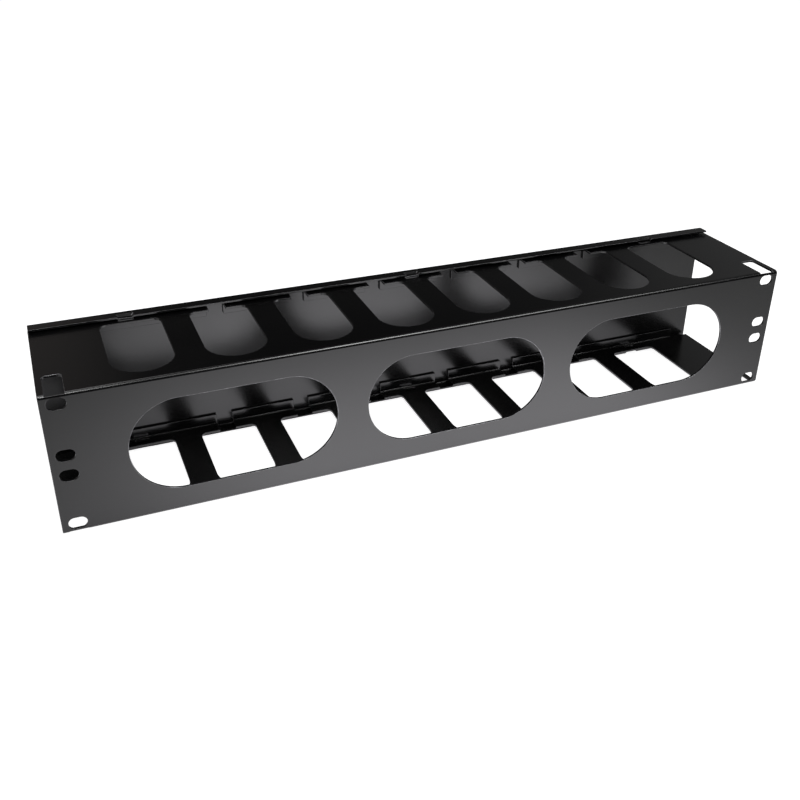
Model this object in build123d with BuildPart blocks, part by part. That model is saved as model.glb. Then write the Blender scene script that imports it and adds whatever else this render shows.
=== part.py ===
"""Horizontal cable manager, two rack units high, for a 19-inch rack.

Two folded sheets make the whole object:

* base_channel: a mounting panel with large cable openings and the rack's
  slots, folded at its top and bottom edges into two deep flanges.  Cutouts
  leave a row of fingers in each flange.  The fingers end in a bar along the
  far edge, whose lip is folded inward, towards the other flange.  Cables leave
  the channel through the narrow gaps in the bar.
* front_cover: a plain plate with a lip folded back along its top and bottom
  edges.  The lips lie outside the flanges, and the dimples pressed into each
  lip sit over holes in the bar.

The origin is the middle of the mounting face.  X runs along the rack's width,
Z is up, and the channel reaches out along +Y, away from the mounting face.
All lengths are in millimetres.
"""

import os

from build123d import *

# Rack standard
rack_unit = 44.45
units_high = 2
unit_play = 0.8
panel_width = 482.6

# Mounting slots: a column near each end, in pairs above and below the middle
slot_edge = 8.75
slot_close_rows = 12.7
slot_length = 10.3
slot_height = 7.1

# Base channel
channel_sheet = 1.5
channel_depth = 86.0
channel_bend = 0.8
bar_lip_height = 8.2
bar_lip_relief = 15.0

# Cable openings in the panel, and the metal left around them
opening_count = 3
opening_end_web = 41.0
opening_web = 19.4
opening_margin = 14.85

# Cutouts in the flanges, and the fingers and the bar left around them
cutout_count = 8
end_finger = 39.05
finger_width = 17.1
cutout_start = 9.0
cutout_corner = 4.0
bar_width = 10.4
bar_gap = 10.4

# Notches in line with the outer slots, for the screw heads and the driver
notch_width = 10.3
notch_reach = 22.4
notch_corner = 2.4
notch_drop = 1.0

# Front cover
cover_inset = 0.3
cover_sheet = 1.2
cover_bend = 0.8
cover_lip_depth = 9.1
cover_play = 0.3
lip_gap = 1.4

# Snap dimples in the cover's lips, and the holes they sit over
snap_count = 3
snap_end = 55.3
snap_width = 10.0
snap_reach = 4.0
snap_slope = 45.0
snap_clearance = 0.25
snap_hole_margin = 0.6

# Sizes and places that follow
panel_height = rack_unit * units_high - unit_play
half_height = panel_height / 2

slot_columns = panel_width - 2 * slot_edge
slot_outer_rows = rack_unit * units_high - slot_close_rows

opening_run = panel_width - 2 * opening_end_web + opening_web
opening_pitch = opening_run / opening_count
opening_length = opening_pitch - opening_web
opening_height = panel_height - 2 * opening_margin

cutout_run = panel_width - 2 * end_finger + finger_width
cutout_pitch = cutout_run / cutout_count
cutout_width = cutout_pitch - finger_width
cutout_round = cutout_start + cutout_width / 2
bar_start = channel_depth - bar_width

cover_width = panel_width - 2 * cover_inset
cover_face = channel_depth + cover_play + cover_sheet
cover_half_height = half_height + lip_gap + cover_sheet
cover_lip_edge = cover_face - cover_lip_depth

snap_pitch = (panel_width - 2 * snap_end) / (snap_count - 1)
snap_depth = lip_gap - snap_clearance
snap_tip_width = snap_width - 2 * snap_depth


# The folded channel: panel, flanges and inward lips from one sheet
with BuildPart() as base_channel:
    with BuildSketch(Plane.YZ):
        with BuildLine():
            rear = channel_sheet / 2
            front = channel_depth - channel_sheet / 2
            top = half_height - channel_sheet / 2
            lip_end = half_height - bar_lip_height
            FilletPolyline(
                (front, lip_end),
                (front, top),
                (rear, top),
                (rear, -top),
                (front, -top),
                (front, -lip_end),
                radius=channel_bend + channel_sheet / 2,
            )
        trace(line_width=channel_sheet)
    extrude(amount=panel_width / 2, both=True)

    # Obround cable openings and the rack's slots, cut through the panel only
    with BuildSketch(Plane.XZ):
        with GridLocations(opening_pitch, 0, opening_count, 1):
            SlotOverall(opening_length, opening_height)
        with GridLocations(slot_columns, slot_outer_rows, 2, 2):
            SlotOverall(slot_length, slot_height)
        with GridLocations(slot_columns, slot_close_rows, 2, 2):
            SlotOverall(slot_length, slot_height)
    extrude(amount=-channel_sheet, mode=Mode.SUBTRACT)

    # Cutouts through both flanges: a full round towards the panel, small
    # corners at the bar
    with BuildSketch(Plane.XY):
        with Locations((0, (cutout_round + bar_start) / 2)):
            with GridLocations(cutout_pitch, 0, cutout_count, 1):
                Rectangle(cutout_width, bar_start - cutout_round)
        fillet(vertices().group_by(Axis.Y)[-1], cutout_corner)
        with Locations((0, cutout_round)):
            with GridLocations(cutout_pitch, 0, cutout_count, 1):
                Circle(cutout_width / 2)
    extrude(amount=panel_height, both=True, mode=Mode.SUBTRACT)

    # Gaps in the bar at every cutout but the two outermost
    with BuildSketch(Plane.XY):
        with Locations((0, channel_depth - bar_width / 2)):
            with GridLocations(cutout_pitch, 0, cutout_count - 2, 1):
                Rectangle(bar_gap, 2 * bar_width)
    extrude(amount=panel_height, both=True, mode=Mode.SUBTRACT)

    # The lips stop short of the channel's ends
    with BuildSketch(Plane.XY):
        with Locations((0, channel_depth)):
            with GridLocations(panel_width, 0, 2, 1):
                Rectangle(2 * bar_lip_relief, 2 * (channel_sheet + channel_bend))
    extrude(amount=panel_height, both=True, mode=Mode.SUBTRACT)

    # Holes under the cover's dimples
    with BuildSketch(Plane.XY):
        with Locations((0, cover_lip_edge + snap_reach / 2)):
            with GridLocations(snap_pitch, 0, snap_count, 1):
                RectangleRounded(
                    snap_tip_width + 2 * snap_hole_margin,
                    snap_reach,
                    snap_hole_margin,
                )
    extrude(amount=panel_height, both=True, mode=Mode.SUBTRACT)

    # Notches: the upper part also opens the bend above the panel's web, the
    # lower part stays clear of the panel
    notch_level = Plane.XY.offset(half_height - notch_drop)
    with BuildSketch(notch_level):
        with Locations((0, notch_reach / 2)):
            with GridLocations(slot_columns, 0, 2, 1):
                Rectangle(notch_width, notch_reach)
        fillet(vertices().group_by(Axis.Y)[-1], notch_corner)
    upper_notches = extrude(amount=notch_drop, mode=Mode.SUBTRACT)
    with BuildSketch(notch_level):
        with Locations((0, (channel_sheet + notch_reach) / 2)):
            with GridLocations(slot_columns, 0, 2, 1):
                Rectangle(notch_width, notch_reach - channel_sheet)
        fillet(vertices().group_by(Axis.Y)[-1], notch_corner)
    lower_notches = extrude(
        amount=-(channel_sheet + channel_bend), mode=Mode.SUBTRACT
    )
    mirror(upper_notches, about=Plane.XY, mode=Mode.SUBTRACT)
    mirror(lower_notches, about=Plane.XY, mode=Mode.SUBTRACT)

base_channel.part.label = "base_channel"


# Forming shapes of the top lip's dimples: the metal that is pushed in, which
# runs out at the lip's edge, and the hollow that it leaves
with BuildPart() as dimple_metal:
    with BuildSketch(Plane.XY.offset(cover_half_height - cover_sheet)):
        with Locations((0, cover_lip_edge)):
            with GridLocations(snap_pitch, 0, snap_count, 1):
                Rectangle(snap_width, 2 * snap_reach)
    extrude(amount=-snap_depth, taper=snap_slope)
    split(bisect_by=Plane.XZ.offset(-cover_lip_edge), keep=Keep.BOTTOM)

with BuildPart() as dimple_hollow:
    with BuildSketch(Plane.XY.offset(cover_half_height)):
        with Locations((0, cover_lip_edge)):
            with GridLocations(snap_pitch, 0, snap_count, 1):
                Rectangle(snap_width, 2 * snap_reach)
    extrude(amount=-snap_depth, taper=snap_slope)


# The folded cover: plate and two lips from one sheet, with its dimples
with BuildPart() as front_cover:
    with BuildSketch(Plane.YZ):
        with BuildLine():
            plate = cover_face - cover_sheet / 2
            lip = cover_half_height - cover_sheet / 2
            FilletPolyline(
                (cover_lip_edge, lip),
                (plate, lip),
                (plate, -lip),
                (cover_lip_edge, -lip),
                radius=cover_bend + cover_sheet / 2,
            )
        trace(line_width=cover_sheet)
    extrude(amount=cover_width / 2, both=True)
    add(dimple_metal.part)
    mirror(dimple_metal.part, about=Plane.XY)
    add(dimple_hollow.part, mode=Mode.SUBTRACT)
    mirror(dimple_hollow.part, about=Plane.XY, mode=Mode.SUBTRACT)

front_cover.part.label = "front_cover"


os.makedirs("parts", exist_ok=True)
export_step(base_channel.part, "parts/base_channel.step")
export_step(front_cover.part, "parts/front_cover.step")
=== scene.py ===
"""Looks of a horizontal cable manager, two rack units high, for a 19-inch rack.

The object is two folded steel sheets in satin black powder coat: a channel
with large openings in its mounting panel and a row of fingers along each
flange, and a cover that presses on over the fingers' bar.  Both sheets are
grown from their sizes by Geometry Nodes trees: a profile is folded from a line
of corners, drawn out along the rack's width and perforated by rows of cutters.
Their cut edges are then eased, as blasting and the coat ease the real ones.

Sizes in the classes are millimetres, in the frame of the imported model: X runs
along the rack's width, Y from the mounting face towards the cover, Z is up.
"""

from __future__ import annotations

import logging
import math
import sys
from collections.abc import Mapping, Sequence
from dataclasses import dataclass, fields
from enum import Enum

import bmesh
import bpy
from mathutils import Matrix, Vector
from mathutils.bvhtree import BVHTree


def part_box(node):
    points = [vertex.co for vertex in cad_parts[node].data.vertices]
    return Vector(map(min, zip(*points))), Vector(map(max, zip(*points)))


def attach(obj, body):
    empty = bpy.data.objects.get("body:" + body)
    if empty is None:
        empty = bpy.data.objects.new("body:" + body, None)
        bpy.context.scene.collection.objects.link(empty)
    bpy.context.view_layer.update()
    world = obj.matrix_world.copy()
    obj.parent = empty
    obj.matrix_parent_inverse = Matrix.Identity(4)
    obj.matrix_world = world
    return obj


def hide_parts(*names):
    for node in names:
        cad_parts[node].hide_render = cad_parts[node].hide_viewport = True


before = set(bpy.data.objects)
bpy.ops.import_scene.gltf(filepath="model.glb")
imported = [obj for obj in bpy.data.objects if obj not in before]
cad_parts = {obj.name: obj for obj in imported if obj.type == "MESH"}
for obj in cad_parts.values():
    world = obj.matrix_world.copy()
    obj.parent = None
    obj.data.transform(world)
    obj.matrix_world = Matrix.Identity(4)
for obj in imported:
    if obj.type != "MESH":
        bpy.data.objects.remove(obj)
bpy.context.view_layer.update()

log = logging.getLogger("cable_manager")

MM = 0.001
WELD = 0.002 * MM  # points nearer than this are one, where solids are drawn out
FLAT_WITHIN = math.radians(0.5)  # faces that meet at less are one flat face
FULL_ROUND = 0.49999  # the radius of a fully round end, as a share of its width
EDGE_ATTRIBUTE = "eased_edge"
WHITE = (1.0, 1.0, 1.0, 1.0)
MIDDLE = (0.0, 0.0, 0.0)
UNIT = (0.0, 1.0)

Socket = bpy.types.NodeSocket
Value = float | Socket
Span = tuple[float, float]
Triple = tuple[float, float, float]
Length = float  # a size in millimetres that becomes an input of the sheet's tree


class Glow(Enum):
    """Which rays meet the brightness that a stage surface is given."""

    CAMERA = ("Is Camera Ray", "Is Transmission Ray")
    CAMERA_AND_GLOSS = ("Is Camera Ray", "Is Glossy Ray", "Is Transmission Ray")
    GLOSS = ("Is Glossy Ray",)


def add_object(name: str, data: bpy.types.ID) -> bpy.types.Object:
    """Add an object with its data to the scene."""
    added = bpy.data.objects.new(name, data)
    bpy.context.scene.collection.objects.link(added)
    return added


class NodeBench:
    """A node tree with short calls for its sockets, nodes and sums."""

    def __init__(self, tree: bpy.types.NodeTree) -> None:
        """Start on a geometry, shader or group tree."""
        self.tree = tree

    def socket(
        self, name: str, kind: str, default: float | None = None, output: bool = False
    ) -> None:
        """Give the tree an input or output of its own.

        Args:
            name: The socket's name.
            kind: The socket's type, such as Float.
            default: The value it starts with, where it has one.
            output: Whether it is an output.
        """
        made = self.tree.interface.new_socket(
            name, in_out="OUTPUT" if output else "INPUT", socket_type=f"NodeSocket{kind}"
        )
        if default is not None:
            made.default_value = default

    def add(
        self, kind: str, inputs: Mapping[str | int, object] | None = None, **settings: object
    ) -> bpy.types.Node:
        """Add a node, set its options and fill or link its inputs.

        Args:
            kind: The node's type.
            inputs: Values, sockets or lists of sockets by input name or place.
            settings: Options of the node by attribute.

        Returns:
            The new node.
        """
        node = self.tree.nodes.new(kind)
        for name, value in settings.items():
            setattr(node, name, value)
        for key, value in (inputs or {}).items():
            for source in value if isinstance(value, list) else [value]:
                if isinstance(source, Socket):
                    self.tree.links.new(source, node.inputs[key])
                else:
                    node.inputs[key].default_value = source
        return node

    def out(self, kind: str, inputs: Mapping[str | int, object], **settings: object) -> Socket:
        """Add a node in the same way, and give its first output."""
        return self.add(kind, inputs, **settings).outputs[0]

    def calc(self, operation: str, *values: Value) -> Socket:
        """Work out a number by an operation of the Math node."""
        return self.out("ShaderNodeMath", dict(enumerate(values)), operation=operation)

    def times(self, first: Value, second: Value) -> Socket:
        """Multiply two numbers."""
        return self.calc("MULTIPLY", first, second)

    def plus(self, first: Value, second: Value) -> Socket:
        """Add two numbers."""
        return self.calc("ADD", first, second)

    def minus(self, first: Value, second: Value) -> Socket:
        """Take the second number from the first."""
        return self.calc("SUBTRACT", first, second)

    def vector(self, x: Value = 0.0, y: Value = 0.0, z: Value = 0.0) -> Socket:
        """Join three numbers into a vector."""
        return self.out("ShaderNodeCombineXYZ", {0: x, 1: y, 2: z})

    def parts(self, vector: Socket) -> bpy.types.NodeOutputs:
        """Take a vector apart into three numbers."""
        return self.add("ShaderNodeSeparateXYZ", {0: vector}).outputs

    def place(self) -> Socket:
        """Give the shaded point in Object coordinates."""
        return self.add("ShaderNodeTexCoord").outputs["Object"]

    def noise(self, position: Socket, scale: Value, detail: float) -> Socket:
        """Give a noise texture's value at a position."""
        inputs = {"Vector": position, "Scale": scale, "Detail": detail}
        return self.out("ShaderNodeTexNoise", inputs)

    def group(self, tree: bpy.types.NodeTree, *numbers: float) -> bpy.types.NodeOutputs:
        """Use a shader group at the shaded point, with its numbers in order."""
        inputs = dict(enumerate((self.place(), *numbers)))
        return self.add("ShaderNodeGroup", inputs, node_tree=tree).outputs

    def remap(
        self, value: Socket, source: Span = UNIT, target: Span = UNIT, soft: bool = False
    ) -> Socket:
        """Carry a value from one range over to another, clamped to it.

        Args:
            value: The value.
            source: The range that it comes from.
            target: The range that it goes to.
            soft: Whether it leaves and reaches the ends softly.

        Returns:
            The value in the new range.
        """
        inputs = dict(zip(("From Min", "From Max", "To Min", "To Max"), (*source, *target)))
        style = "SMOOTHSTEP" if soft else "LINEAR"
        return self.out("ShaderNodeMapRange", {"Value": value, **inputs}, interpolation_type=style)

    def mix(self, factor: Socket, first: object, second: object, colour: bool = False) -> Socket:
        """Mix two numbers or two colours.

        Args:
            factor: The share of the second one.
            first: The first one.
            second: The second one.
            colour: Whether they are colours.

        Returns:
            The mixture.
        """
        kind, start, end = ("RGBA", 6, 2) if colour else ("FLOAT", 2, 0)
        inputs = {"Factor": factor, start: first, start + 1: second}
        return self.add("ShaderNodeMix", inputs, data_type=kind).outputs[end]

    def emission(self, colour: object, strength: Value) -> Socket:
        """Give an emission shader."""
        return self.out("ShaderNodeEmission", {"Color": colour, "Strength": strength})

    def both(self, first: Socket, second: Socket) -> Socket:
        """Add two shaders."""
        return self.out("ShaderNodeAddShader", {0: first, 1: second})

    def seen_by(self, glow: Glow) -> Socket:
        """Give a factor that is one for the rays that count, and otherwise zero."""
        path = self.add("ShaderNodeLightPath").outputs
        factor = path[glow.value[0]]
        for name in glow.value[1:]:
            factor = self.calc("MAXIMUM", factor, path[name])
        return factor


class SheetBench(NodeBench):
    """A geometry tree with the steps that folded and perforated sheets share."""

    def __init__(self, tree: bpy.types.NodeTree, sizes: Mapping[str, float]) -> None:
        """Give the tree its inputs and its output.

        Args:
            tree: The geometry tree.
            sizes: The sizes in metres, by the names of their inputs.
        """
        super().__init__(tree)
        self.socket("Geometry", "Geometry")
        for name, value in sizes.items():
            self.socket(name, "Float", value)
        self.socket("Finish", "Material")
        self.socket("Geometry", "Geometry", output=True)
        self.given = self.add("NodeGroupInput").outputs

    def __getitem__(self, name: str) -> Socket:
        """Give one of the tree's inputs."""
        return self.given[name]

    def placed(
        self,
        geometry: Socket,
        translation: object = MIDDLE,
        turn: Sequence[float] = MIDDLE,
        scale: Sequence[float] = (1.0, 1.0, 1.0),
    ) -> Socket:
        """Scale, turn and move a geometry.

        Args:
            geometry: What is moved.
            translation: The move, a vector or a socket.
            turn: The Euler angles in degrees.
            scale: The scale along each axis.

        Returns:
            The moved geometry.
        """
        angles = tuple(math.radians(angle) for angle in turn)
        inputs = {0: geometry, "Translation": translation, "Rotation": angles, "Scale": scale}
        return self.out("GeometryNodeTransform", inputs)

    def joined(self, parts: list[Socket]) -> Socket:
        """Put geometries together."""
        return self.out("GeometryNodeJoinGeometry", {0: parts})

    def turned_over(self, geometry: Socket) -> Socket:
        """Turn the faces of a geometry over."""
        return self.out("GeometryNodeFlipFaces", {"Mesh": geometry})

    def realized(self, geometry: Socket) -> Socket:
        """Make a geometry's instances real."""
        return self.out("GeometryNodeRealizeInstances", {"Geometry": geometry})

    def block(self, x: Value, y: Value, z: Value) -> Socket:
        """Make a centred block."""
        return self.out("GeometryNodeMeshCube", {"Size": self.vector(x, y, z)})

    def drawn_out(self, flat: Socket, depth: Value) -> Socket:
        """Draw a flat face out along Z into a closed solid, centred on its plane.

        Args:
            flat: The geometry of a face that looks along +Z.
            depth: The distance.

        Returns:
            The closed solid.
        """
        low = self.placed(flat, self.vector(z=self.times(depth, -0.5)))
        up = self.vector(z=1.0)
        inputs = {"Mesh": low, "Offset": up, "Offset Scale": depth, "Individual": False}
        walls = self.out("GeometryNodeExtrudeMesh", inputs, mode="FACES")
        shell = self.joined([walls, self.turned_over(low)])
        return self.out("GeometryNodeMergeByDistance", {"Geometry": shell, "Distance": WELD})

    def filleted(self, curve: Socket, radius: Value, steps: int) -> Socket:
        """Round a curve's corners, each by a number of straight runs."""
        inputs = {"Curve": curve, "Radius": radius, "Limit Radius": True, "Count": steps}
        return self.out("GeometryNodeFilletCurve", inputs, mode="POLY")

    def rounded_prism(
        self, length: Value, height: Value, corner: Value, depth: Value, steps: int
    ) -> Socket:
        """Make a prism on a rounded rectangle, centred, with its depth along Z.

        Args:
            length: The rectangle's size along X.
            height: The rectangle's size along Y.
            corner: The radius of its corners.
            depth: The prism's depth.
            steps: How many runs each corner is made of.

        Returns:
            The closed prism.
        """
        inputs = {"Width": length, "Height": height}
        outline = self.out("GeometryNodeCurvePrimitiveQuadrilateral", inputs, mode="RECTANGLE")
        rounded = {"Curve": self.filleted(outline, corner, steps)}
        return self.drawn_out(self.out("GeometryNodeFillCurve", rounded, mode="NGONS"), depth)

    def grid(
        self, cutter: Socket, columns: int, pitch: Value, rows: int = 1, row_pitch: Value = 0.0
    ) -> Socket:
        """Repeat a cutter on a centred grid in its own XY plane.

        Args:
            cutter: The geometry to repeat.
            columns: How many stand along X.
            pitch: Their distance along X.
            rows: How many rows there are along Y, one or two.
            row_pitch: The rows' distance along Y.

        Returns:
            The repeated cutters as real geometry.
        """
        width = self.times(self.minus(columns, 1.0), pitch)
        first = self.vector(self.times(width, -0.5), self.times(row_pitch, -0.5 * (rows - 1)))
        inputs = {"Count": columns, "Start Location": first, "Offset": self.vector(pitch)}
        line = self.out("GeometryNodeMeshLine", inputs, mode="OFFSET")
        if rows == 2:
            line = self.joined([line, self.placed(line, self.vector(y=row_pitch))])
        inputs = {"Points": line, "Instance": cutter}
        return self.realized(self.out("GeometryNodeInstanceOnPoints", inputs))

    def row(self, cutter: Socket, count: int, pitch: Value, y: Value, z: Value = 0.0) -> Socket:
        """Repeat a cutter along X and put the row's middle at a depth and height."""
        return self.placed(self.grid(cutter, count, pitch), self.vector(y=y, z=z))

    def middle(self, start: Value, reach: Value) -> Socket:
        """Give the middle of what starts at one place and reaches some way on."""
        return self.plus(start, self.times(reach, 0.5))

    def mirrored_over(self, geometry: Socket) -> list[Socket]:
        """Give an upper cutter and its mirror image below the XY plane."""
        return [geometry, self.turned_over(self.placed(geometry, scale=(1.0, 1.0, -1.0)))]

    def boolean(self, operation: str, body: Socket, tools: list[Socket]) -> Socket:
        """Cut closed solids out of a body by DIFFERENCE, or weld them on by UNION."""
        inputs = {1: [body, *tools]} if operation == "UNION" else {0: body, 1: tools}
        return self.out("GeometryNodeMeshBoolean", inputs, operation=operation, solver="EXACT")

    def folded_strip(self, upper: Sequence[tuple[Value, Value]], steps: int) -> Socket:
        """Fold a sheet along a line of corners and draw it out along the width.

        Args:
            upper: The corners (y, z) of the centre line's upper half. The lower
                half is its mirror image.
            steps: How many runs each bend is made of.

        Returns:
            The folded sheet, centred on X.
        """
        corners = [*upper, *((y, self.times(z, -1.0)) for y, z in reversed(upper))]
        index = self.out("GeometryNodeInputIndex", {})
        position = self.vector(*corners[0])
        for number, corner in enumerate(corners[1:], start=1):
            inputs = {2: index, 3: number}
            here = self.out("FunctionNodeCompare", inputs, data_type="INT", operation="EQUAL")
            inputs = {0: here, 1: position, 2: self.vector(*corner)}
            position = self.out("GeometryNodeSwitch", inputs, input_type="VECTOR")
        inputs = {"Count": len(corners), "Position": position, "Radius": 0.01}
        points = self.out("GeometryNodePoints", inputs)
        line = self.out("GeometryNodePointsToCurves", {0: points})
        half = self.times(self["Sheet"], 0.5)
        folded = self.filleted(line, self.plus(self["Bend"], half), steps)
        inputs = {"Start": self.vector(half), "End": self.vector(self.times(half, -1.0))}
        across = self.out("GeometryNodeCurvePrimitiveLine", inputs, mode="POINTS")
        inputs = {"Curve": folded, "Profile Curve": across}
        ribbon = self.out("GeometryNodeCurveToMesh", inputs)
        return self.placed(self.drawn_out(ribbon, self["Width"]), turn=(90.0, 0.0, 90.0))


def open_group(
    name: str, numbers: Sequence[str], results: Sequence[str]
) -> tuple[NodeBench, bpy.types.NodeOutputs]:
    """Start a shader group that works on a position.

    Args:
        name: The group's name.
        numbers: The names of its other inputs.
        results: The names of its outputs.

    Returns:
        The bench on the group's tree, and the group's inputs.
    """
    bench = NodeBench(bpy.data.node_groups.new(name, "ShaderNodeTree"))
    bench.socket("Position", "Vector")
    for number in numbers:
        bench.socket(number, "Float")
    for result in results:
        bench.socket(result, "Float", output=True)
    return bench, bench.add("NodeGroupInput").outputs


def make_peel_group() -> bpy.types.NodeTree:
    """Build the shader group for the height of a sprayed powder coat.

    Two sizes of noise lie over each other: the slow waves that the molten coat
    leaves, and the fine grain of its matting agent.

    Returns:
        The node group.
    """
    names = ("Wave Scale", "Grain Scale", "Grain Share")
    bench, given = open_group("coat_peel", names, ("Height",))
    wave = bench.noise(given["Position"], given["Wave Scale"], 1.5)
    grain = bench.noise(given["Position"], given["Grain Scale"], 2.0)
    height = bench.plus(wave, bench.times(grain, given["Grain Share"]))
    bench.add("NodeGroupOutput", {"Height": height})
    return bench.tree


def make_mottle_group() -> bpy.types.NodeTree:
    """Build the shader group for the uneven film and the dust on a coat.

    Returns:
        The node group, with masks for the film and for the dust.
    """
    bench, given = open_group("coat_mottle", ("Cloud Scale", "Speck Scale"), ("Film", "Dust"))
    cloud_range, speck_range = (0.3, 0.7), (0.66, 0.80)
    cloud = bench.noise(given["Position"], given["Cloud Scale"], 4.0)
    film = bench.remap(cloud, cloud_range, soft=True)
    speck = bench.noise(given["Position"], given["Speck Scale"], 1.0)
    dust = bench.times(bench.remap(speck, speck_range), film)
    bench.add("NodeGroupOutput", {"Film": film, "Dust": dust})
    return bench.tree


def make_edge_group() -> bpy.types.NodeTree:
    """Build the shader group for the wear of the coat on eased edges.

    Returns:
        The node group, with a mask for the wear and painted highlight, broken up along the edge.
    """
    bench, given = open_group("edge_wear_and_highlight", ("Break Scale", "Strength"), ("Mask",))
    mark = bench.add(
        "ShaderNodeAttribute", attribute_type="GEOMETRY", attribute_name=EDGE_ATTRIBUTE
    )
    noise_range, share_range = (0.35, 0.65), (0.4, 1.0)
    noise = bench.noise(given["Position"], given["Break Scale"], 2.0)
    broken = bench.times(mark.outputs["Fac"], bench.remap(noise, noise_range, share_range))
    bench.add("NodeGroupOutput", {"Mask": bench.times(broken, given["Strength"])})
    return bench.tree


def blank_material(name: str) -> tuple[bpy.types.Material, NodeBench]:
    """Start a material without nodes, and give the bench on its tree too."""
    material = bpy.data.materials.new(name)
    material.use_nodes = True
    material.node_tree.nodes.clear()
    return material, NodeBench(material.node_tree)


@dataclass(frozen=True)
class PowderCoat:
    """Satin powder coat on steel sheet.

    Attributes:
        name: The material's name.
        colour: The coat's colour, linear like the others.
        worn_and_highlight_colour, worn_and_highlight_metal, worn_and_highlight_roughness:
        The steel where the coat is worn thin on an edge, which also paints a
        highlight along the edges.
        dust_colour, dust_share: The dust caught in it, and how far it covers.
        roughness, uneven: The shader's roughness, and how far it wanders.
        ior: The resin's refractive index.
        peel_mm, wave_scale: The height and the slow waves of its orange peel.
        grain_scale, grain_share: The matting agent's grain, and its height as a
            share of the waves' height.
        cloud_scale, speck_scale: The film's clouds and the dust's specks.
        edge_wear_and_highlight, break_scale: How far the coat is worn along
        exposed edges, which also paints a highlight there, and the scale at
        which that is broken up.
    """

    name: str = "satin_black_powder_coat"
    colour: Triple = (0.0035, 0.0035, 0.0038)
    worn_and_highlight_colour: Triple = (0.42, 0.42, 0.44)
    worn_and_highlight_metal: float = 0.9
    dust_colour: Triple = (0.040, 0.040, 0.041)
    dust_share: float = 0.35
    roughness: float = 0.23
    worn_and_highlight_roughness: float = 0.22
    uneven: float = 0.02
    ior: float = 1.75
    peel_mm: float = 0.004
    wave_scale: float = 420.0
    grain_scale: float = 2600.0
    grain_share: float = 0.35
    cloud_scale: float = 18.0
    speck_scale: float = 900.0
    edge_wear_and_highlight: float = 0.8
    break_scale: float = 240.0

    def make(self) -> bpy.types.Material:
        """Build the material with its three shader groups.

        Returns:
            The material.
        """
        material, bench = blank_material(self.name)
        peel = (self.wave_scale, self.grain_scale, self.grain_share)
        height = bench.group(make_peel_group(), *peel)["Height"]
        masks = bench.group(make_mottle_group(), self.cloud_scale, self.speck_scale)
        # Bare steel on the eased edges: partly wear, partly a painted highlight on the rims.
        worn = bench.group(make_edge_group(), self.break_scale, self.edge_wear_and_highlight)["Mask"]
        inputs = {"Strength": 1.0, "Distance": self.peel_mm * MM, "Height": height}
        bump = bench.out("ShaderNodeBump", inputs)
        dust = bench.times(masks["Dust"], self.dust_share)
        dusty = bench.mix(dust, (*self.colour, 1.0), (*self.dust_colour, 1.0), colour=True)
        wander = (self.roughness - self.uneven, self.roughness + self.uneven)
        film = bench.remap(masks["Film"], target=wander)
        inputs = {
            "Base Color": bench.mix(worn, dusty, (*self.worn_and_highlight_colour, 1.0), colour=True),
            "Metallic": bench.times(worn, self.worn_and_highlight_metal),
            "Roughness": bench.mix(worn, film, self.worn_and_highlight_roughness),
            "Normal": bump,
            "IOR": self.ior,
        }
        shader = bench.out("ShaderNodeBsdfPrincipled", inputs)
        bench.add("ShaderNodeOutputMaterial", {"Surface": shader})
        return material


def join_flat_faces(work: bmesh.types.BMesh) -> None:
    """Dissolve the edges and points that lie within flat faces."""
    bmesh.ops.dissolve_limit(work, angle_limit=FLAT_WITHIN, verts=work.verts, edges=work.edges)


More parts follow.
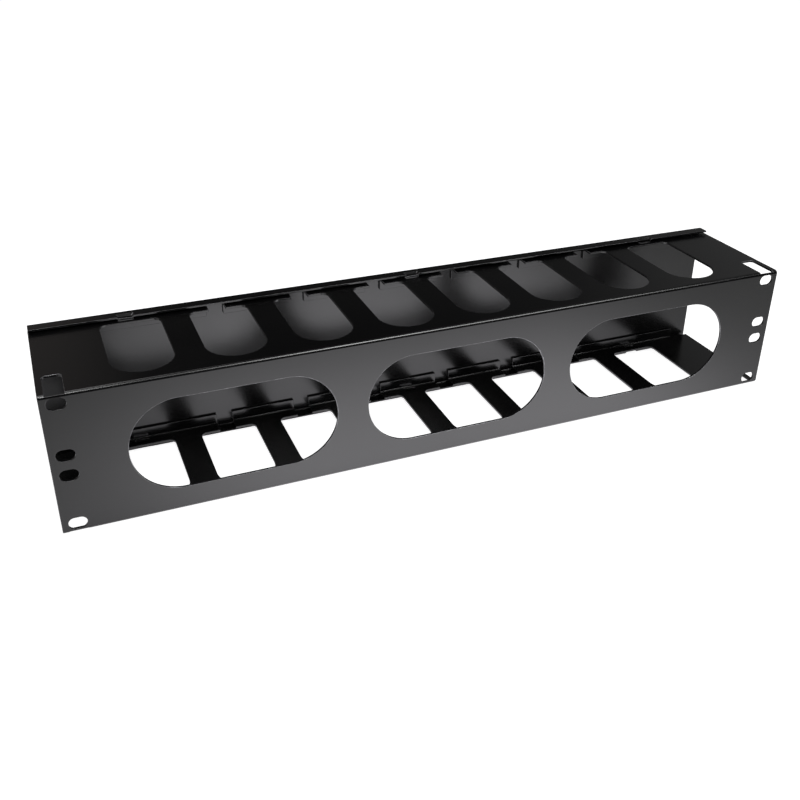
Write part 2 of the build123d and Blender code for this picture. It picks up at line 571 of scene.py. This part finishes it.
@dataclass
class FoldedSheet:
    """What both folded sheets share: their tree, their edges and their finish.

    Attributes:
        finish: The material that the sheet is dressed in.
        edge_radius: How far the cut edges are eased.
        edge_steps: How many faces an eased edge has across.
        bend_steps: How many runs a bend is made of.
        merge_within: How close two points lie when they are made one.
        sharp_from: The angle in degrees from which an edge is eased.
        outside_by: How far a point may stand outside the sheet.
        inside_share: How deep a point may lie, as a share of the easing.
        pull_passes: How often the points that lie farther off are brought back.
    """

    finish: bpy.types.Material
    edge_radius: float = 0.28
    edge_steps: int = 3
    bend_steps: int = 8
    merge_within: float = 0.1
    sharp_from: float = 30.0
    outside_by: float = 0.004
    inside_share: float = 0.75
    pull_passes: int = 3

    def sizes(self) -> dict[str, float]:
        """Give the sizes that are the tree's inputs, in metres by name."""
        names = [item.name for item in fields(self) if item.type == "Length"]
        return {name.replace("_", " ").title(): getattr(self, name) * MM for name in names}

    def fill_tree(self, bench: SheetBench) -> Socket:
        """Build the sheet's own steps in its tree and give the finished solid."""
        raise NotImplementedError

    def wear_and_highlight_at(self, place: Vector) -> float:
        """Give the share of the wear and painted highlight that an edge has at a place in
        millimetres.
        """
        raise NotImplementedError

    def build(self, name: str) -> bpy.types.Object:
        """Grow the sheet from its sizes and ease its edges.

        Args:
            name: The new piece's name.

        Returns:
            The piece, a plain mesh at the origin.
        """
        tree = bpy.data.node_groups.new(f"{name}_tree", "GeometryNodeTree")
        bench = SheetBench(tree, self.sizes())
        inputs = {"Geometry": bench.realized(self.fill_tree(bench)), "Material": bench["Finish"]}
        bench.add("NodeGroupOutput", {0: bench.out("GeometryNodeSetMaterial", inputs)})

        seed = add_object(f"{name}_seed", bpy.data.meshes.new(f"{name}_seed"))
        grower = seed.modifiers.new("grow", "NODES")
        grower.node_group = tree
        items = tree.interface.items_tree
        places = {item.name: item.identifier for item in items if item.in_out == "INPUT"}
        for size, value in (*self.sizes().items(), ("Finish", self.finish)):
            grower[places[size]] = value
        depsgraph = bpy.context.evaluated_depsgraph_get()
        grown = seed.evaluated_get(depsgraph)
        mesh = bpy.data.meshes.new_from_object(grown, depsgraph=depsgraph)
        mesh.name = name
        bpy.data.objects.remove(seed)
        self.ease_edges(mesh)
        piece = add_object(name, mesh)
        level = piece.modifiers.new("level_faces", "WEIGHTED_NORMAL")
        level.keep_sharp = False
        level.weight = 60
        return piece

    def ease_edges(self, mesh: bpy.types.Mesh) -> None:
        """Merge doubles, round every sharp edge and mark the rounds.

        Args:
            mesh: The sheet's mesh, changed in place.
        """
        work = bmesh.new()
        work.from_mesh(mesh)
        mark = work.faces.layers.float.new(EDGE_ATTRIBUTE)
        bmesh.ops.remove_doubles(work, verts=work.verts, dist=2 * WELD)
        join_flat_faces(work)
        bmesh.ops.remove_doubles(work, verts=work.verts, dist=self.merge_within * MM)
        bmesh.ops.dissolve_degenerate(work, edges=work.edges, dist=WELD)
        wires = [edge for edge in work.edges if not edge.link_faces]
        bmesh.ops.delete(work, geom=wires, context="EDGES")
        join_flat_faces(work)
        bmesh.ops.recalc_face_normals(work, faces=work.faces)
        volume = work.calc_volume(signed=True)
        if volume < 0:
            bmesh.ops.reverse_faces(work, faces=work.faces)
        limit = math.radians(self.sharp_from)
        sharp = [e for e in work.edges if e.is_manifold and e.calc_face_angle(0.0) > limit]
        loose = sum(not e.is_manifold for e in work.edges)
        before = BVHTree.FromBMesh(work)
        made = bmesh.ops.bevel(
            work,
            geom=sharp,
            offset=self.edge_radius * MM,
            offset_type="OFFSET",
            segments=self.edge_steps,
            profile=0.5,
            affect="EDGES",
            clamp_overlap=False,
            miter_outer="ARC",
        )
        # Each rounded face gets its share of wear and painted highlight.
        for face in made["faces"]:
            face[mark] = self.wear_and_highlight_at(face.calc_center_median() / MM)
        moved = [self.pull_back(work, before) for _ in range(self.pull_passes)]
        bmesh.ops.remove_doubles(work, verts=work.verts, dist=WELD / 4)
        for face in work.faces:
            face.smooth = True
        log.info(
            "%s: volume %.0f mm3, %d sharp edges, %d open edges, %d faces, points pulled back %s",
            mesh.name, volume / MM**3, len(sharp), loose, len(work.faces), moved,
        )
        work.to_mesh(mesh)
        work.free()

    def pull_back(self, work: bmesh.types.BMesh, before: BVHTree) -> int:
        """Bring points that the rounding threw off the sheet back among their neighbours.

        Args:
            work: The rounded sheet, changed in place.
            before: The sheet's surface before the rounding.

        Returns:
            How many points lay off the sheet.
        """
        thrown = set()
        for vert in work.verts:
            spot, normal, _, distance = before.find_nearest(vert.co)
            outside = (vert.co - spot).dot(normal) > self.outside_by * MM
            if outside or distance > self.inside_share * self.edge_radius * MM:
                thrown.add(vert)
        for vert in thrown:
            near = [edge.other_vert(vert) for edge in vert.link_edges]
            kept = [other.co for other in near if other not in thrown]
            if kept:
                vert.co = sum(kept, Vector()) / len(kept)
        return len(thrown)

    def dress(self, piece: bpy.types.Object, node: str, body: str) -> None:
        """Put the piece in its node's place, on its body and in its finish.

        Args:
            piece: The finished piece.
            node: The CAD node that it stands for.
            body: The body that it rides on.
        """
        for slot in piece.material_slots:
            slot.material = self.finish
        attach(piece, body)
        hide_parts(node)


@dataclass
class Channel(FoldedSheet):
    """The base channel: mounting panel, two fingered flanges and inward lips.

    Attributes:
        panel_through, flange_through: The depth of the cutters, in sheets and
            in half heights.
        round_share, square_share: The reach of a cutout's round cutter and the
            start of its square one, in cutout widths.
        gap_lead, gap_past: How far a gap's cutter starts before the bar and
            reaches past the channel.
        notch_lead, notch_above: How far a notch's shallow cutter starts before
            the panel and stands above the flange.
        deep_extra, deep_above: How far the deep cutters pass the bend in all,
            and how far above the notch's step.
        deep_round, near_share: How much shorter than the reach the round one
            is, and the square one's share of it.
        inner_below, inner_from, inner_wear_and_highlight: How far under the flange
            and from the mounting face an edge counts as an inner one, and its share
            of wear and painted highlight.
        cutout_wear_and_highlight, cutout_margin: The share of wear and painted
            highlight at the cutouts' edges, and how far around them that holds.
        notch_wear_and_highlight, notch_from, notch_margin: The share of wear and
            painted highlight at a notch's sides and in the slots, where the sides
            start and how far beside that holds.
    """

    width: Length = 482.6
    half_height: Length = 44.05
    depth: Length = 86.0
    sheet: Length = 1.5
    bend: Length = 0.8
    lip_height: Length = 8.2
    lip_relief: Length = 15.0
    opening_pitch: Length = 140.0
    opening_length: Length = 120.6
    opening_height: Length = 58.4
    slot_columns: Length = 465.1
    slot_outer_rows: Length = 76.2
    slot_close_rows: Length = 12.7
    slot_length: Length = 10.3
    slot_height: Length = 7.1
    cutout_pitch: Length = 52.6875
    cutout_width: Length = 35.5875
    cutout_start: Length = 9.0
    cutout_corner: Length = 4.0
    bar_start: Length = 75.6
    bar_gap: Length = 10.4
    hole_pitch: Length = 186.0
    hole_length: Length = 8.9
    hole_reach: Length = 4.0
    hole_corner: Length = 0.6
    hole_y: Length = 80.4
    notch_width: Length = 10.3
    notch_reach: Length = 22.4
    notch_corner: Length = 2.4
    notch_drop: Length = 1.0
    opening_count: int = 3
    cutout_count: int = 8
    hole_count: int = 3
    opening_steps: int = 48
    slot_steps: int = 10
    round_steps: int = 28
    corner_steps: int = 8
    hole_steps: int = 3
    notch_steps: int = 6
    panel_through: float = 2.2
    flange_through: float = 2.4
    round_share: float = 1.6
    square_share: float = 0.55
    gap_lead: float = 6.0
    gap_past: float = 4.0
    notch_lead: float = 6.0
    notch_above: float = 4.0
    deep_extra: float = 1.5
    deep_above: float = 1.2
    deep_round: float = 4.0
    near_share: float = 0.7
    inner_below: float = 0.35
    inner_from: float = 4.0
    inner_wear_and_highlight: float = 0.15
    cutout_wear_and_highlight: float = 0.05
    cutout_margin: float = 1.0
    notch_wear_and_highlight: float = 0.2
    notch_from: float = 3.0
    notch_margin: float = 0.5

    def fill_tree(self, bench: SheetBench) -> Socket:
        """Fold the channel and perforate its panel and flanges.

        Args:
            bench: The tree to build in.

        Returns:
            The finished solid's geometry.
        """
        rear = bench.times(bench["Sheet"], 0.5)
        front = bench.minus(bench["Depth"], rear)
        top = bench.minus(bench["Half Height"], rear)
        lip = bench.minus(bench["Half Height"], bench["Lip Height"])
        body = bench.folded_strip([(front, lip), (front, top), (rear, top)], self.bend_steps)
        for cutters in (self.panel_cutters, self.flange_cutters, self.notch_cutters):
            body = bench.boolean("DIFFERENCE", body, cutters(bench))
        return body

    def wear_and_highlight_at(self, place: Vector) -> float:
        """Give the share of the wear and painted highlight that an edge has.

        The inner edges, the cutouts, the sides of the notches and the slots get
        less of it, so that they show less painted highlight and stay dark.

        Args:
            place: Where the edge is, in millimetres.

        Returns:
            The share.
        """
        across, up = abs(place.x), abs(place.z)
        if up < self.half_height - self.inner_below and place.y > self.inner_from:
            return self.inner_wear_and_highlight
        in_row = across < self.cutout_pitch * self.cutout_count / 2
        start, end = self.cutout_start - self.cutout_margin, self.bar_start + self.cutout_margin
        if in_row and start < place.y < end:
            return self.cutout_wear_and_highlight
        beside = abs(across - self.slot_columns / 2) < self.notch_width / 2 + self.notch_margin
        side = self.notch_from < place.y < self.notch_reach - self.notch_corner
        slot = place.y < self.sheet and up < self.half_height - self.sheet - self.bend
        return self.notch_wear_and_highlight if beside and (side or slot) else 1.0

    def panel_cutters(self, bench: SheetBench) -> list[Socket]:
        """Make the cutters for the cable openings and the rack's slots.

        Args:
            bench: The tree to build in.

        Returns:
            One geometry for each kind of perforation.
        """
        deep = bench.times(bench["Sheet"], self.panel_through)
        forms = []
        for name, steps in (("Opening", self.opening_steps), ("Slot", self.slot_steps)):
            length, height = bench[f"{name} Length"], bench[f"{name} Height"]
            corner = bench.times(height, FULL_ROUND)
            forms.append(bench.rounded_prism(length, height, corner, deep, steps))
        opening, slot = forms
        columns = bench["Slot Columns"]
        grids = [
            bench.grid(opening, self.opening_count, bench["Opening Pitch"]),
            bench.grid(slot, 2, columns, 2, bench["Slot Outer Rows"]),
            bench.grid(slot, 2, columns, 2, bench["Slot Close Rows"]),
        ]
        middle = bench.vector(y=bench.times(bench["Sheet"], 0.5))
        return [bench.placed(grid, middle, turn=(90.0, 0.0, 0.0)) for grid in grids]

    def flange_cutters(self, bench: SheetBench) -> list[Socket]:
        """Make the cutters that leave the fingers, the bar and its gaps.

        Args:
            bench: The tree to build in.

        Returns:
            One geometry for each kind of perforation, through both flanges.
        """
        tall = bench.times(bench["Half Height"], self.flange_through)
        width, start, bar = bench["Cutout Width"], bench["Cutout Start"], bench["Bar Start"]
        count, pitch = self.cutout_count, bench["Cutout Pitch"]
        round_reach = bench.times(width, self.round_share)
        corner = bench.times(width, FULL_ROUND)
        rounds = bench.rounded_prism(width, round_reach, corner, tall, self.round_steps)
        square_start = bench.plus(start, bench.times(width, self.square_share))
        square_reach = bench.minus(bar, square_start)
        corner = bench["Cutout Corner"]
        squares = bench.rounded_prism(width, square_reach, corner, tall, self.corner_steps)
        gap_start = bench.minus(bar, self.gap_lead * MM)
        gap_reach = bench.minus(bench.plus(bench["Depth"], self.gap_past * MM), gap_start)
        gaps = bench.block(bench["Bar Gap"], gap_reach, tall)
        rim = bench.plus(bench["Sheet"], bench["Bend"])
        ends = bench.block(bench.times(bench["Lip Relief"], 2.0), bench.times(rim, 2.0), tall)
        length, reach, corner = (bench[f"Hole {name}"] for name in ("Length", "Reach", "Corner"))
        holes = bench.rounded_prism(length, reach, corner, tall, self.hole_steps)
        return [
            bench.row(rounds, count, pitch, bench.middle(start, round_reach)),
            bench.row(squares, count, pitch, bench.middle(square_start, square_reach)),
            bench.row(gaps, count - 2, pitch, bench.middle(gap_start, gap_reach)),
            bench.row(ends, 2, bench["Width"], bench["Depth"]),
            bench.row(holes, self.hole_count, bench["Hole Pitch"], bench["Hole Y"]),
        ]

    def notch_cutters(self, bench: SheetBench) -> list[Socket]:
        """Make the cutters for the driver notches in both flanges.

        A shallow cutter also opens the bend above the panel.  Two deep ones
        stay clear of the panel: a square one next to it, and one that rounds
        the notch's far corners.

        Args:
            bench: The tree to build in.

        Returns:
            The upper and lower cutters of all kinds.
        """
        width, reach, corner = (bench[f"Notch {name}"] for name in ("Width", "Reach", "Corner"))
        step = bench.minus(bench["Half Height"], bench["Notch Drop"])
        high = bench.plus(bench["Notch Drop"], self.notch_above * MM)
        level = bench.middle(step, high)
        deep = bench.plus(bench.plus(bench["Sheet"], bench["Bend"]), self.deep_extra * MM)
        deep_level = bench.plus(step, bench.minus(self.deep_above * MM, bench.times(deep, 0.5)))
        deep_reach = bench.minus(reach, bench["Sheet"])
        near_reach = bench.times(deep_reach, self.near_share)
        near = bench.block(width, near_reach, deep)
        placed = [(near, bench.middle(bench["Sheet"], near_reach), deep_level)]
        for long, tall, z in (
            (bench.plus(reach, self.notch_lead * MM), high, level),
            (bench.minus(deep_reach, self.deep_round * MM), deep, deep_level),
        ):
            form = bench.rounded_prism(width, long, corner, tall, self.notch_steps)
            placed.append((form, bench.minus(reach, bench.times(long, 0.5)), z))
        columns = bench["Slot Columns"]
        near, shallow, far = (bench.row(form, 2, columns, y, z) for form, y, z in placed)
        return [cutter for row in (shallow, near, far) for cutter in bench.mirrored_over(row)]


@dataclass
class Cover(FoldedSheet):
    """The front cover: a plate with two dimpled lips folded back.

    Attributes:
        lid_height, lid_sink: How far the hollow's form stands above the lip,
            and how far that lid is sunk into the form below it.
        past_wide, past_tall: The size of what is cut off past the lip's edge, in
            lengths and depths of a dimple.
        lip_wear_and_highlight, glint_and_wear, dimple_wear_and_highlight: The
            share of wear and painted highlight of the lips' edges, of the painted
            glints at a dimple's edge and far corners, and in the rest of a dimple.
        dimple_margin: How far around a dimple its own share holds.
        glint_reach: How far from the lip's edge the painted glint reaches.
        corner_reach: From how far in and aside a dimple's corners carry a painted glint.
    """

    edge_radius: float = 0.22
    merge_within: float = 0.02
    width: Length = 482.0
    face: Length = 87.5
    half_height: Length = 46.65
    sheet: Length = 1.2
    bend: Length = 0.8
    lip_edge: Length = 78.4
    dimple_pitch: Length = 186.0
    dimple_length: Length = 10.0
    dimple_reach: Length = 4.0
    dimple_depth: Length = 1.15
    dimple_count: int = 3
    lid_height: float = 0.6
    lid_sink: float = 0.0005
    past_wide: float = 1.5
    past_tall: float = 3.0
    lip_wear_and_highlight: float = 0.3
    glint_and_wear: float = 1.2
    dimple_wear_and_highlight: float = 0.05
    dimple_margin: float = 1.0
    glint_reach: float = 0.8
    corner_reach: float = 2.4

    def fill_tree(self, bench: SheetBench) -> Socket:
        """Fold the cover and press its dimples.

        Args:
            bench: The tree to build in.

        Returns:
            The finished solid's geometry.
        """
        half_sheet = bench.times(bench["Sheet"], 0.5)
        plate = bench.minus(bench["Face"], half_sheet)
        top = bench.minus(bench["Half Height"], half_sheet)
        folded = bench.folded_strip([(bench["Lip Edge"], top), (plate, top)], self.bend_steps)
        inner = bench.minus(bench["Half Height"], bench["Sheet"])
        metal = self.frustums(bench, inner, whole=False)
        hollow = self.frustums(bench, bench["Half Height"], whole=True)
        welded = bench.boolean("UNION", folded, bench.mirrored_over(metal))
        return bench.boolean("DIFFERENCE", welded, bench.mirrored_over(hollow))

    def wear_and_highlight_at(self, place: Vector) -> float:
        """Give the share of wear and painted highlight that an edge has, with painted glints at
        the dimples.

        Args:
            place: Where the edge is, in millimetres.

        Returns:
            The share.
        """
        half_row = self.dimple_pitch * self.dimple_count / 2
        aside = abs((place.x + half_row) % self.dimple_pitch - self.dimple_pitch / 2)
        deep = place.y - self.lip_edge
        past = deep > self.dimple_reach + self.dimple_margin
        if past or aside > self.dimple_length / 2 + self.dimple_margin:
            return self.lip_wear_and_highlight
        # Painted glints: a dimple's far corners and its part at the lip's edge get bare metal that
        # catches the light.
        corner = deep > self.corner_reach and aside > self.corner_reach
        return self.glint_and_wear if corner or deep < self.glint_reach else self.dimple_wear_and_highlight

    def frustums(self, bench: SheetBench, level: Socket, whole: bool) -> Socket:
        """Make the row of tapered forms that press the top lip's dimples.

        Args:
            bench: The tree to build in.
            level: The height of their wide end.
            whole: Whether they also reach past the lip's edge, as the hollow does.

        Returns:
            The row of tapered solids.
        """
        length, reach, depth = (bench[f"Dimple {name}"] for name in ("Length", "Reach", "Depth"))
        double = bench.times(reach, 2.0)
        place = bench.parts(bench.out("GeometryNodeInputPosition", {}))
        inputs = {0: place[2], 1: 0.0}
        low = bench.out("FunctionNodeCompare", inputs, data_type="FLOAT", operation="LESS_THAN")
        taper = bench.times(depth, -1.0)
        inward = [bench.times(bench.calc("SIGN", place[axis]), taper) for axis in (0, 1)]
        body = bench.block(length, double, depth)
        inputs = {"Geometry": body, "Selection": low, "Offset": bench.vector(*inward)}
        tapered = bench.out("GeometryNodeSetPosition", inputs)
        if whole:
            height = self.lid_height * MM
            lid_level = bench.plus(bench.times(depth, 0.5), height / 2 - self.lid_sink * MM)
            lid = bench.placed(bench.block(length, double, height), bench.vector(z=lid_level))
            tapered = bench.boolean("UNION", tapered, [lid])
        else:
            wide, tall = bench.times(length, self.past_wide), bench.times(depth, self.past_tall)
            past = bench.block(wide, double, tall)
            past = bench.placed(past, bench.vector(y=bench.times(reach, -1.0)))
            tapered = bench.boolean("DIFFERENCE", tapered, [past])
        count, pitch, edge = self.dimple_count, bench["Dimple Pitch"], bench["Lip Edge"]
        return bench.row(tapered, count, pitch, edge, bench.minus(level, bench.times(depth, 0.5)))


@dataclass(frozen=True)
class SoftBox:
    """A soft lamp: a rectangle that faces a point of the object.

    Attributes:
        name: The lamp's name.
        place, aim: Where it stands and the point it faces, in metres.
        width, height: Its size in metres.
        power: Its power in watts.
        diffuse: Whether it lights the floor, or is only mirrored by the gloss.
    """

    name: str
    place: Triple
    aim: Triple
    width: float
    height: float
    power: float
    diffuse: bool = True

    def build(self) -> None:
        """Add the lamp to the scene."""
        light = bpy.data.lights.new(self.name, "AREA")
        light.shape = "RECTANGLE"
        light.size, light.size_y = self.width, self.height
        light.energy = self.power
        lamp = add_object(self.name, light)
        lamp.location = self.place
        direction = Vector(self.aim) - Vector(self.place)
        lamp.rotation_euler = direction.to_track_quat("-Z", "Y").to_euler()
        lamp.visible_camera = False
        lamp.visible_diffuse = self.diffuse


@dataclass(frozen=True)
class LightPool:
    """The pool of light on the floor around the object, as its gloss shows it.

    Attributes:
        strength, colour: The light in the middle of the pool.
        centre: The pool's middle in metres.
        half_width, width_power: Where the pool has lost half of its strength
            along X, and how abruptly it falls there.
        flat_depth, fall_depth: How far from the middle it stays even along Y,
            and how fast it falls beyond.
        shade, shade_depth: The share that the object's own shadow takes, and
            between which distances along Y that fades out.
    """

    strength: float = 1.53
    colour: Triple = (1.005, 0.990, 1.035)
    centre: Span = (0.0062, 0.0435)
    half_width: float = 0.201
    width_power: float = 4.9
    flat_depth: float = 0.058
    fall_depth: float = 0.148
    shade: float = 0.35
    shade_depth: Span = (0.0235, 0.0535)

    def socket(self, bench: NodeBench) -> Socket:
        """Work the pool out in the floor's material.

        Args:
            bench: The floor material's tree.

        Returns:
            The strength at each place of the floor.
        """
        place = bench.parts(bench.place())
        aside, away = (
            bench.calc("ABSOLUTE", bench.minus(place[axis], self.centre[axis])) for axis in (0, 1)
        )
        width = bench.calc("POWER", bench.calc("DIVIDE", aside, self.half_width), self.width_power)
        across = bench.calc("DIVIDE", 1.0, bench.plus(width, 1.0))
        past = bench.calc("MAXIMUM", bench.minus(away, self.flat_depth), 0.0)
        fall = bench.calc("POWER", bench.calc("DIVIDE", past, self.fall_depth), 2.0)
        along = bench.calc("EXPONENT", bench.times(fall, -1.0))
        shaded = bench.remap(away, self.shade_depth, (1.0 - self.shade, 1.0), soft=True)
        return bench.times(bench.times(bench.times(across, along), shaded), self.strength)


@dataclass(frozen=True)
class Studio:
    """The white floor, the soft lamps and the dim room around them.

    Attributes:
        lamps, pool: The soft lamps, and the pool of light on the floor.
        floor_size: The floor's side in metres.
        heel: How far from its rear face the channel stands on the floor. The
            cover's lip reaches lower, so the object leans, and here the floor
            is turned instead.
        floor_gap: The gap between the floor and the object.
        floor_colour, floor_lift: The floor's colour, and what it adds for the
            camera, so that it is white.
        reflected_floor_fade: Between which distances from the pool's middle the
        floor is painted darker in reflections, down to black, along Y, in metres.
        room_radius, room_bottom: The dim room's radius in metres, and where its
            wall ends below, as a share of it.
        room_glow: How light and how warm the wall is at angles from +Y to +X.
        horizon_glow, horizon_band: What a pale sweep low behind the object
            adds, and the heights between which it fades out, in degrees.
        fill: The strength of the soft light from all around.
    """

    lamps: tuple[SoftBox, ...]
    floor_size: float = 8.0
    heel: float = 2.3
    floor_gap: float = 0.03
    floor_colour: float = 0.8
    floor_lift: float = 0.92
    reflected_floor_fade: Span = (0.22, 0.38)
    pool: LightPool = LightPool()
    room_radius: float = 2.4
    room_bottom: float = -0.35
    room_glow: tuple[Triple, ...] = (
        (-110.0, 0.010, 1.0),
        (-75.0, 0.075, 1.1),
        (-6.0, 0.090, 1.1),
        (-3.0, 0.050, 1.05),
        (0.0, 0.003, 1.0),
        (26.0, 0.006, 1.0),
        (36.0, 0.020, 1.0),
        (42.0, 0.070, 1.0),
        (48.0, 0.112, 1.0),
        (75.0, 0.112, 1.0),
        (110.0, 0.010, 1.0),
    )
    horizon_glow: float = 0.06
    horizon_band: Span = (14.0, 27.0)
    fill: float = 0.12

    def build(self) -> None:
        """Build the floor, the room, the lamps and the surroundings."""
        self.make_floor()
        self.make_room()
        for lamp in self.lamps:
            lamp.build()
        self.make_world()

    def make_floor(self) -> bpy.types.Object:
        """Lay the floor under the cover's lip and the channel's edge.

        Returns:
            The floor.
        """
        channel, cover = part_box("base_channel")[0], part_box("front_cover")[0]
        hinge, lowest = cover[1], cover[2] - self.floor_gap * MM
        slope = (channel[2] - cover[2]) / (hinge - self.heel * MM)
        half = self.floor_size / 2
        corners = [
            (x, y, lowest + (hinge - y) * slope)
            for x, y in ((-half, -half), (half, -half), (half, half), (-half, half))
        ]
        mesh = bpy.data.meshes.new("floor")
        mesh.from_pydata(corners, [], [(0, 1, 2, 3)])
        material, bench = blank_material("pale_floor")
        place = bench.parts(bench.place())
        away = bench.calc("ABSOLUTE", bench.minus(place[1], self.pool.centre[1]))
        # Painted shade in reflections: away from the pool the floor darkens to black for the gloss
        # only.
        past = bench.remap(away, self.reflected_floor_fade, (0.0, self.floor_colour), soft=True)
        grey = bench.minus(self.floor_colour, bench.times(past, bench.seen_by(Glow.GLOSS)))
        paper = bench.out("ShaderNodeBsdfDiffuse", {"Color": grey})
        for colour, strength, glow in (
            (WHITE, self.floor_lift, Glow.CAMERA),
            ((*self.pool.colour, 1.0), self.pool.socket(bench), Glow.GLOSS),
        ):
            light = bench.emission(colour, bench.times(bench.seen_by(glow), strength))
            paper = bench.both(paper, light)
        bench.add("ShaderNodeOutputMaterial", {"Surface": paper})
        mesh.materials.append(material)
        return add_object("floor", mesh)

    def make_room(self) -> bpy.types.Object:
        """Put the dim room around the lamps, which only the gloss shows.

        Returns:
            The room's dome.
        """
        mesh = bpy.data.meshes.new("dim_room")
        work = bmesh.new()
        bmesh.ops.create_uvsphere(work, u_segments=48, v_segments=24, radius=self.room_radius)
        bottom = self.room_bottom * self.room_radius
        low = [vert for vert in work.verts if vert.co.z < bottom]
        bmesh.ops.delete(work, geom=low, context="VERTS")
        bmesh.ops.reverse_faces(work, faces=work.faces)
        work.to_mesh(mesh)
        work.free()
        room = add_object("dim_room", mesh)
        room.visible_camera = False
        room.visible_diffuse = False
        room.visible_shadow = False
        material, bench = blank_material("dim_room")
        place = bench.parts(bench.place())
        angle = bench.calc("ARCTAN2", place[0], place[1])
        ramp = bench.add("ShaderNodeValToRGB", {0: bench.remap(angle, (-math.pi, math.pi))})
        stops = ramp.color_ramp.elements
        stops.remove(stops[-1])
        for number, (degrees, level, warmth) in enumerate(self.room_glow):
            spot = (degrees + 180.0) / 360.0
            stop = stops[0] if number == 0 else stops.new(spot)
            stop.position = spot
            stop.color = (level * warmth, level, level / warmth**0.5, 1.0)
        seen = bench.seen_by(Glow.GLOSS)
        heights = [math.sin(math.radians(angle)) * self.room_radius for angle in self.horizon_band]
        band = bench.remap(place[2], heights, (self.horizon_glow, 0.0))
        behind = bench.calc("MAXIMUM", bench.calc("DIVIDE", place[1], self.room_radius), 0.0)
        sweep = bench.emission(WHITE, bench.times(bench.times(band, behind), seen))
        wall = bench.both(bench.emission(ramp.outputs[0], seen), sweep)
        bench.add("ShaderNodeOutputMaterial", {"Surface": wall})
        mesh.materials.append(material)
        return room

    def make_world(self) -> None:
        """Surround the scene with white for camera and gloss, and a soft fill."""
        world = bpy.data.worlds.new("surroundings")
        bpy.context.scene.world = world
        world.use_nodes = True
        world.node_tree.nodes.clear()
        bench = NodeBench(world.node_tree)
        strength = bench.mix(bench.seen_by(Glow.CAMERA_AND_GLOSS), self.fill, 1.0)
        white = bench.out("ShaderNodeBackground", {"Color": WHITE, "Strength": strength})
        bench.add("ShaderNodeOutputWorld", {"Surface": white})


@dataclass(frozen=True)
class ViewCamera:
    """The camera at the object's viewing angle.

    Attributes:
        place, turn: Where it stands in millimetres, and its Euler angles in
            degrees.
        lens: Its focal length for a 36 mm sensor.
        shift_x, shift_y: The frame's shift to the side and upwards.
    """

    place: Triple = (-229.247, -468.569, 291.231)
    turn: Triple = (62.35995, -0.99238, -23.19513)
    lens: float = 43.04884
    shift_x: float = -0.0324816
    shift_y: float = -0.0479441

    def build(self) -> None:
        """Add the camera and look through it."""
        data = bpy.data.cameras.new("view_camera")
        data.sensor_fit = "HORIZONTAL"
        data.sensor_width = 36.0
        data.lens = self.lens
        data.shift_x, data.shift_y = self.shift_x, self.shift_y
        data.clip_start, data.clip_end = 0.01, 50.0
        data.dof.use_dof = False
        camera = add_object("view_camera", data)
        camera.location = [value * MM for value in self.place]
        camera.rotation_euler = [math.radians(value) for value in self.turn]
        bpy.context.scene.camera = camera


LAMPS = (
    SoftBox("front_box", (0.620, -0.858, 1.177), MIDDLE, 0.98, 0.42, 6.0),
    SoftBox("front_left_box", (0.344, -0.886, 1.187), MIDDLE, 0.38, 0.42, 2.2),
    SoftBox("front_end_box", (-0.31, -0.896, 1.187), (-0.31, 0.0, 0.0), 0.16, 0.42, 2.4, False),
    SoftBox("left_top_box", (-0.52, 0.15, 1.2), (-0.3, 0.0, 0.0), 0.70, 0.90, 3.0),
)


def main() -> None:
    """Build the stage, the camera and the two sheets, in that order."""
    bpy.context.scene.view_settings.view_transform = "Standard"
    ViewCamera().build()
    Studio(LAMPS).build()
    log.info("stage and camera are set")
    finish = PowderCoat().make()
    for sheet, name, node, body in (
        (Channel(finish), "channel_sheet", "base_channel", "channel"),
        (Cover(finish), "cover_sheet", "front_cover", "cover"),
    ):
        piece = sheet.build(name)
        sheet.dress(piece, node, body)
        low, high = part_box(node)
        log.info("%s stands for %s, box %s to %s", piece.name, node, tuple(low), tuple(high))


if __name__ == "__main__":
    logging.basicConfig(level=logging.INFO, format="%(name)s: %(message)s", stream=sys.stdout)
    main()
